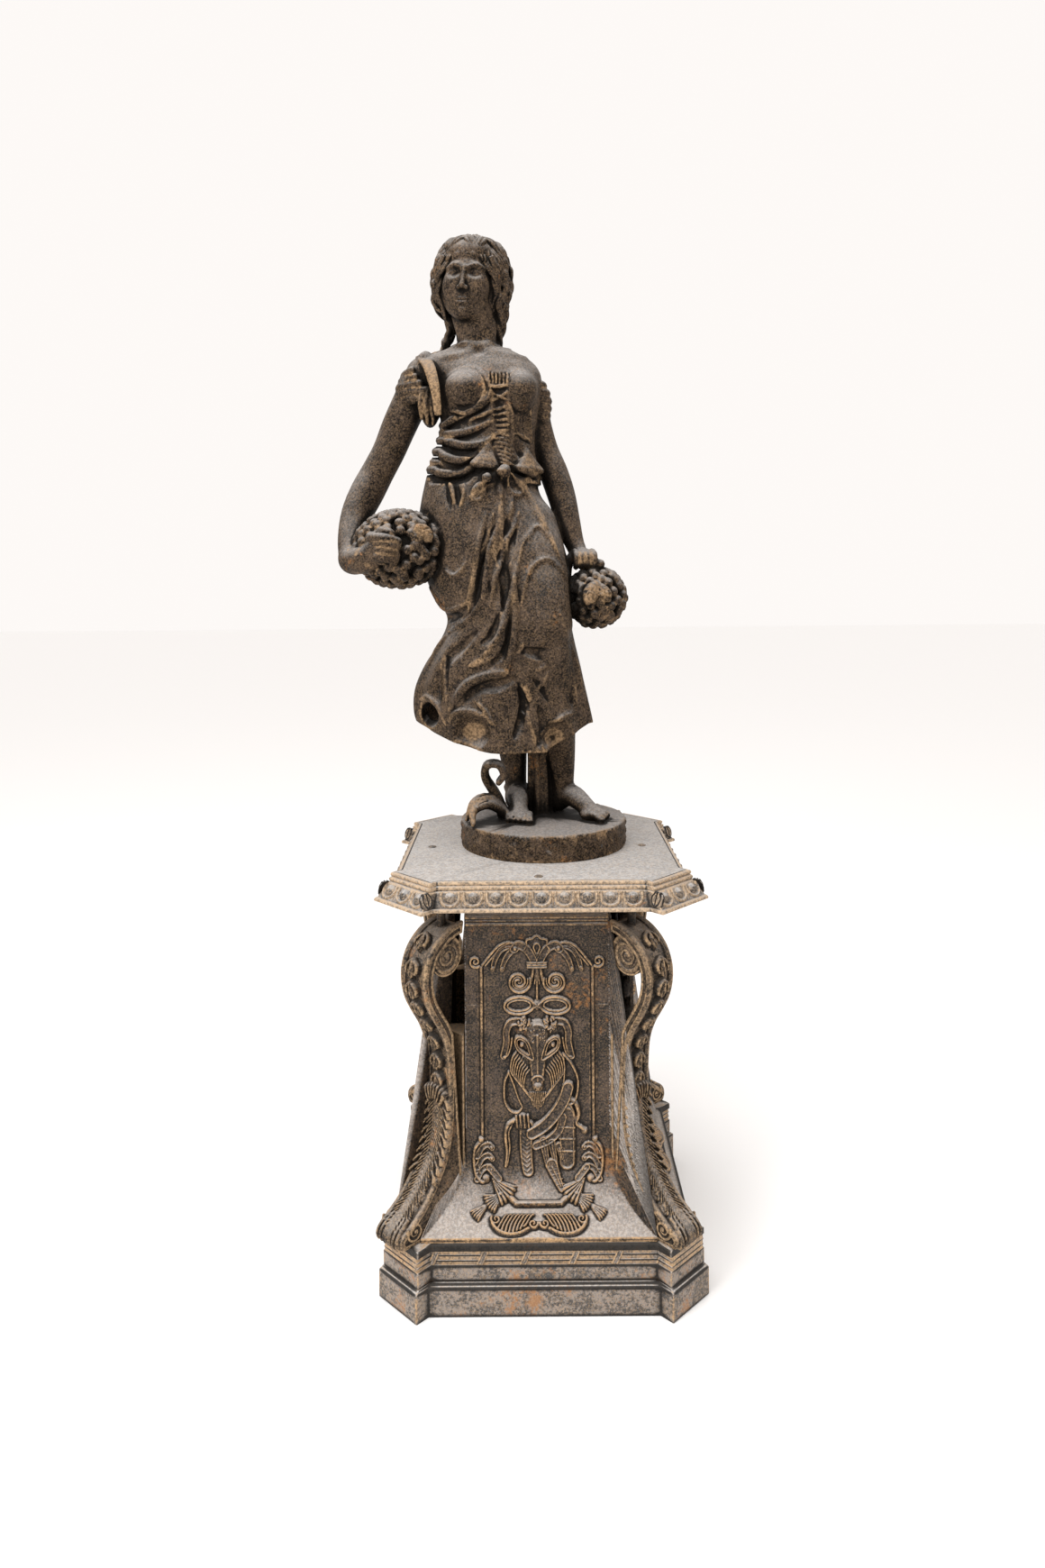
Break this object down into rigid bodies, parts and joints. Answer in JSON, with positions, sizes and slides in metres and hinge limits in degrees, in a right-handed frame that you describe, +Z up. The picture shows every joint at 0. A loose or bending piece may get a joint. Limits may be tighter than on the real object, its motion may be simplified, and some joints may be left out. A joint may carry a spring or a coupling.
{
  "type": "cast iron garden statue",
  "caption": "Standing girl in a draped dress carrying grapes, cast in iron on a round base, on a scrolled square pedestal with ram relief panels.",
  "frame": {"origin": "centre of the whole outline, on the underside of the plinth", "axes": "+Z up, -Y to the figure's front, +X to the viewer's right"},
  "size_m": [0.7434, 0.6402, 2.0971],
  "materials": {
    "figure_iron": "antiqued dark brown with a bronze rub on raised edges",
    "cap_iron": "antiqued dark brown with dust on the top face",
    "bolt_iron": "dark, lightly rusted",
    "panel_iron": "antiqued dark brown with a bronze rub on the relief",
    "scroll_iron": "antiqued dark brown with a bronze rub on the ornament",
    "plinth_iron": "antiqued dark brown, dusty on its ledges"
  },
  "bodies": {
    "root": {"figure": "figure_iron", "cap": "cap_iron", "cap_bolt_left": "bolt_iron", "cap_bolt_right": "bolt_iron", "cap_bolt_front": "bolt_iron", "cap_bolt_back": "bolt_iron", "side_panel_front": "panel_iron", "side_panel_right": "panel_iron", "side_panel_back": "panel_iron", "side_panel_left": "panel_iron", "corner_scroll_front_left": "scroll_iron", "corner_scroll_front_right": "scroll_iron", "corner_scroll_back_right": "scroll_iron", "corner_scroll_back_left": "scroll_iron", "plinth_upper_step": "plinth_iron", "plinth_lower_step": "plinth_iron"}
  },
  "joints": []
}
